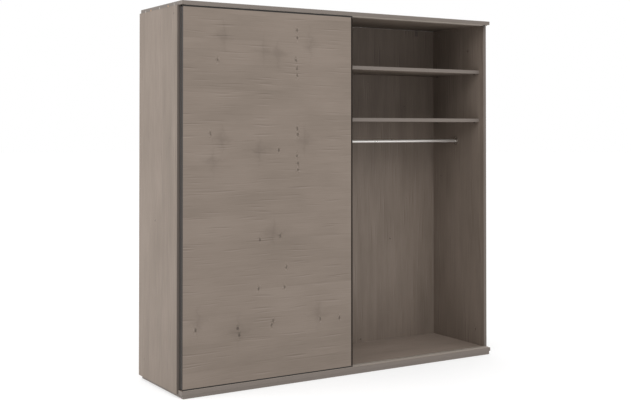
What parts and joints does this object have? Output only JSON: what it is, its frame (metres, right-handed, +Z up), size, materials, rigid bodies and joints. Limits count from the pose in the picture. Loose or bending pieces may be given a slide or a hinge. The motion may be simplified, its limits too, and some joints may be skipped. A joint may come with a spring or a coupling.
{
  "type": "sliding door wardrobe",
  "caption": "Wide free-standing wardrobe in washed wood finish with sliding doors on rollers, inner shelves and hanging rails.",
  "frame": {"origin": "on the floor under the middle of the wardrobe's bounding box", "axes": "+X to the right along the front, +Y from the front to the back, +Z up"},
  "size_m": [2.2, 0.58, 2.16],
  "materials": {
    "washed_pine": "matte",
    "board_dark": "matte",
    "beech": "matte",
    "edge_dark": "matte",
    "grip_dark": "satin",
    "aluminium": "satin",
    "chrome": "polished",
    "zinc_steel": "satin",
    "zinc_cast": "matte",
    "plastic_grey": "matte",
    "cap_plastic": "matte",
    "nylon_white": "satin",
    "rubber_black": "matte"
  },
  "bodies": {
    "carcass": {"back_panel_left": "washed_pine", "back_panel_nails": "zinc_steel", "back_panel_right": "washed_pine", "bottom_panel": "washed_pine", "bottom_track": "aluminium", "bracket_screws": "zinc_steel", "cam_bolts": "zinc_steel", "cam_caps": "cap_plastic", "cam_discs": "zinc_cast", "centre_partition": "washed_pine", "clothes_rail_left": "chrome", "clothes_rail_right": "chrome", "floor_glides": "nylon_white", "plinth_front": "board_dark", "plinth_rail_centre": "board_dark", "plinth_rail_left": "board_dark", "plinth_rail_right": "board_dark", "plinth_rear": "board_dark", "rail_cup_left_inner": "plastic_grey", "rail_cup_left_outer": "plastic_grey", "rail_cup_right_inner": "plastic_grey", "rail_cup_right_outer": "plastic_grey", "rail_cup_screws": "zinc_steel", "shelf_left_lower": "washed_pine", "shelf_left_upper": "washed_pine", "shelf_pins": "chrome", "shelf_right_lower": "washed_pine", "shelf_right_upper": "washed_pine", "side_left": "washed_pine", "side_right": "washed_pine", "top_panel": "washed_pine", "top_track": "aluminium", "track_end_stops": "rubber_black", "track_screws": "zinc_steel", "wall_bracket_left": "zinc_steel", "wall_bracket_right": "zinc_steel", "wood_dowels": "beech"},
    "front_door": {"front_door_axles": "zinc_steel", "front_door_edge_trim": "edge_dark", "front_door_grip": "grip_dark", "front_door_guide_left": "plastic_grey", "front_door_guide_right": "plastic_grey", "front_door_panel": "washed_pine", "front_door_roller_housing_left": "plastic_grey", "front_door_roller_housing_right": "plastic_grey", "front_door_screws": "zinc_steel"},
    "front_wheel_left": {"front_door_wheel_left": "nylon_white"},
    "front_wheel_right": {"front_door_wheel_right": "nylon_white"},
    "rear_door": {"rear_door_axles": "zinc_steel", "rear_door_edge_trim": "edge_dark", "rear_door_grip": "grip_dark", "rear_door_guide_left": "plastic_grey", "rear_door_guide_right": "plastic_grey", "rear_door_panel": "washed_pine", "rear_door_roller_housing_left": "plastic_grey", "rear_door_roller_housing_right": "plastic_grey", "rear_door_screws": "zinc_steel"},
    "rear_wheel_left": {"rear_door_wheel_left": "nylon_white"},
    "rear_wheel_right": {"rear_door_wheel_right": "nylon_white"}
  },
  "joints": [
    {"name": "front_door_slide", "type": "slide", "parent": "carcass", "child": "front_door", "axis": [1, 0, 0], "range_m": [0, 1.067]},
    {"name": "front_wheel_left_spin", "type": "hinge", "parent": "front_door", "child": "front_wheel_left", "pos_m": [-0.996, -0.28, 0.0606], "axis": [0, 1, 0], "continuous": true},
    {"name": "front_wheel_right_spin", "type": "hinge", "parent": "front_door", "child": "front_wheel_right", "pos_m": [-0.071, -0.28, 0.0606], "axis": [0, 1, 0], "continuous": true},
    {"name": "rear_door_slide", "type": "slide", "parent": "carcass", "child": "rear_door", "axis": [1, 0, 0], "range_m": [0, 1.067]},
    {"name": "rear_wheel_left_spin", "type": "hinge", "parent": "rear_door", "child": "rear_wheel_left", "pos_m": [-0.996, -0.2585, 0.0606], "axis": [0, 1, 0], "continuous": true},
    {"name": "rear_wheel_right_spin", "type": "hinge", "parent": "rear_door", "child": "rear_wheel_right", "pos_m": [-0.071, -0.2585, 0.0606], "axis": [0, 1, 0], "continuous": true}
  ],
  "couplings": [
    {"joint": "front_wheel_left_spin", "follows": "front_door_slide", "rad_per_m": 103.09},
    {"joint": "front_wheel_right_spin", "follows": "front_door_slide", "rad_per_m": 103.09},
    {"joint": "rear_wheel_left_spin", "follows": "rear_door_slide", "rad_per_m": 103.09},
    {"joint": "rear_wheel_right_spin", "follows": "rear_door_slide", "rad_per_m": 103.09}
  ]
}
